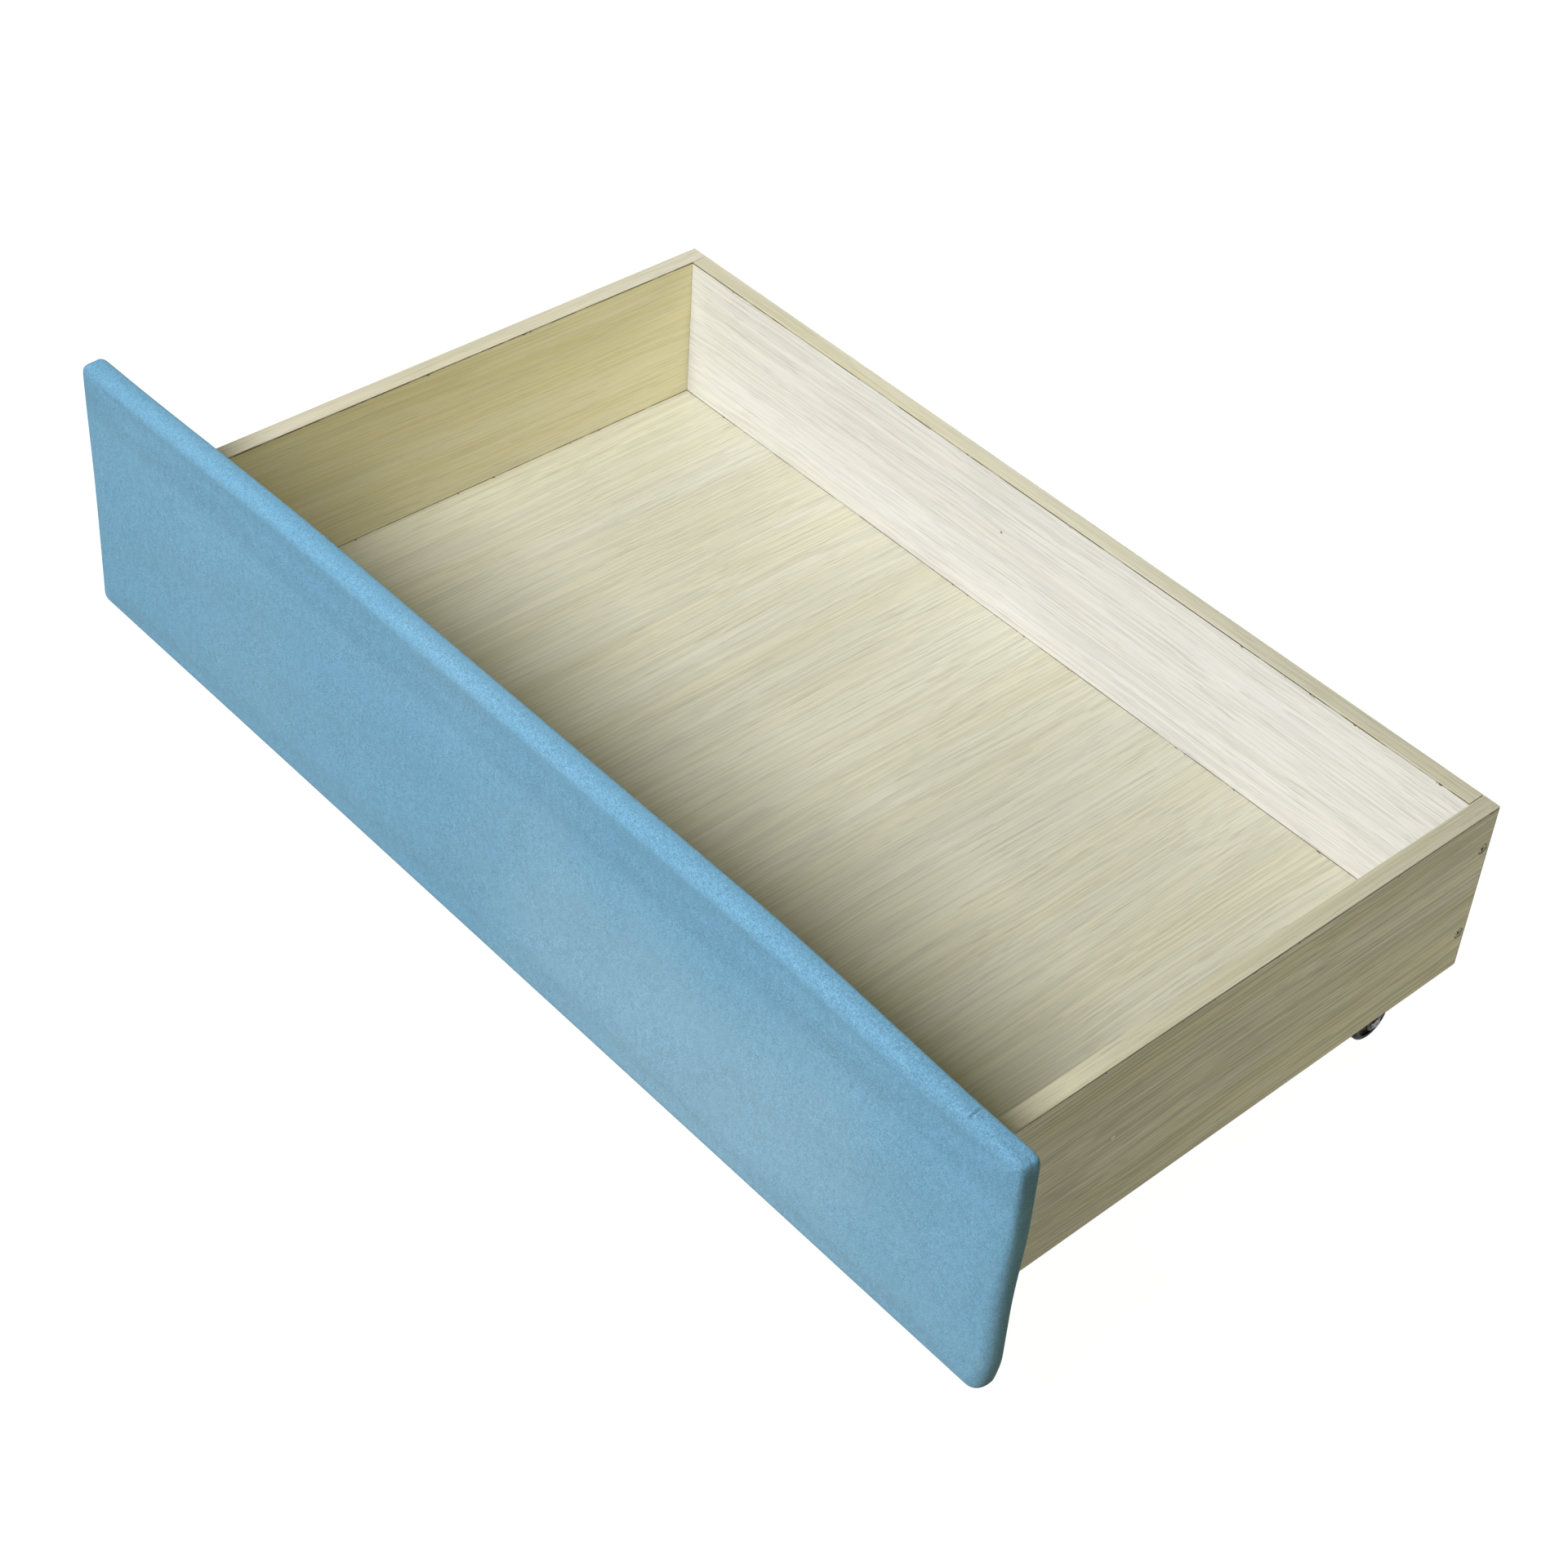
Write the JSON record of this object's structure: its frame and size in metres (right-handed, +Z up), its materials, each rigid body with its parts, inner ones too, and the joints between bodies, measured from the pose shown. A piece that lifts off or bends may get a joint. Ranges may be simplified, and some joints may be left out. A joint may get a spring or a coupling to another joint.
{
  "type": "under bed box",
  "caption": "Shallow open-topped drawer of light oak board that rolls on fixed casters, with a velvet-upholstered front panel wider and taller than the box.",
  "frame": {"origin": "bottom centre of the whole object, on the floor under it", "axes": "+X to the right seen from the front, along the width; the upholstered front faces -Y; +Z up"},
  "size_m": [1, 0.5502, 0.293],
  "materials": {
    "oak_board": "light oak print melamine, fine straight grain, satin",
    "edge_band": "light oak print edge band, satin",
    "raw_board": "raw fibreboard",
    "velvet": "short-pile sky blue velvet",
    "foam": "thin upholstery foam",
    "lining_cloth": "black non-woven lining",
    "black_plastic": "moulded black plastic",
    "black_steel": "black painted pressed steel",
    "zinc": "bright zinc plate",
    "zinc_yellow": "yellow zinc plate"
  },
  "bodies": {
    "drawer": {"side_left": "oak_board", "batten_left": "oak_board", "side_left_top_band": "edge_band", "side_left_end_band": "edge_band", "side_right": "oak_board", "batten_right": "oak_board", "side_right_top_band": "edge_band", "side_right_end_band": "edge_band", "back_board": "oak_board", "base_board": "oak_board", "back_top_band": "edge_band", "panel_cover": "velvet", "panel_foam": "foam", "panel_board": "raw_board", "panel_lining": "lining_cloth", "back_screw_left_lower": "zinc_yellow", "cam_bolt_left_lower": "zinc", "cam_nut_left_lower": "zinc", "back_screw_left_upper": "zinc_yellow", "cam_bolt_left_upper": "zinc", "cam_nut_left_upper": "zinc", "back_screw_right_lower": "zinc_yellow", "cam_bolt_right_lower": "zinc", "cam_nut_right_lower": "zinc", "back_screw_right_upper": "zinc_yellow", "cam_bolt_right_upper": "zinc", "cam_nut_right_upper": "zinc", "caster_axle_front_left": "zinc", "caster_bracket_front_left": "black_steel", "plate_screw_front_left_1": "zinc", "plate_screw_front_left_2": "zinc", "plate_screw_front_left_3": "zinc", "plate_screw_front_left_4": "zinc", "caster_axle_back_left": "zinc", "caster_bracket_back_left": "black_steel", "plate_screw_back_left_1": "zinc", "plate_screw_back_left_2": "zinc", "plate_screw_back_left_3": "zinc", "plate_screw_back_left_4": "zinc", "caster_axle_front_right": "zinc", "caster_bracket_front_right": "black_steel", "plate_screw_front_right_1": "zinc", "plate_screw_front_right_2": "zinc", "plate_screw_front_right_3": "zinc", "plate_screw_front_right_4": "zinc", "caster_axle_back_right": "zinc", "caster_bracket_back_right": "black_steel", "plate_screw_back_right_1": "zinc", "plate_screw_back_right_2": "zinc", "plate_screw_back_right_3": "zinc", "plate_screw_back_right_4": "zinc"},
    "wheel_front_left": {"caster_wheel_front_left": "black_plastic"},
    "wheel_back_left": {"caster_wheel_back_left": "black_plastic"},
    "wheel_front_right": {"caster_wheel_front_right": "black_plastic"},
    "wheel_back_right": {"caster_wheel_back_right": "black_plastic"}
  },
  "joints": [
    {"name": "wheel_front_left_spin", "type": "hinge", "parent": "drawer", "child": "wheel_front_left", "pos_m": [-0.412, -0.1899, 0.019], "axis": [1, 0, 0], "continuous": true},
    {"name": "wheel_back_left_spin", "type": "hinge", "parent": "drawer", "child": "wheel_back_left", "pos_m": [-0.412, 0.2091, 0.019], "axis": [1, 0, 0], "continuous": true},
    {"name": "wheel_front_right_spin", "type": "hinge", "parent": "drawer", "child": "wheel_front_right", "pos_m": [0.412, -0.1899, 0.019], "axis": [1, 0, 0], "continuous": true},
    {"name": "wheel_back_right_spin", "type": "hinge", "parent": "drawer", "child": "wheel_back_right", "pos_m": [0.412, 0.2091, 0.019], "axis": [1, 0, 0], "continuous": true}
  ]
}
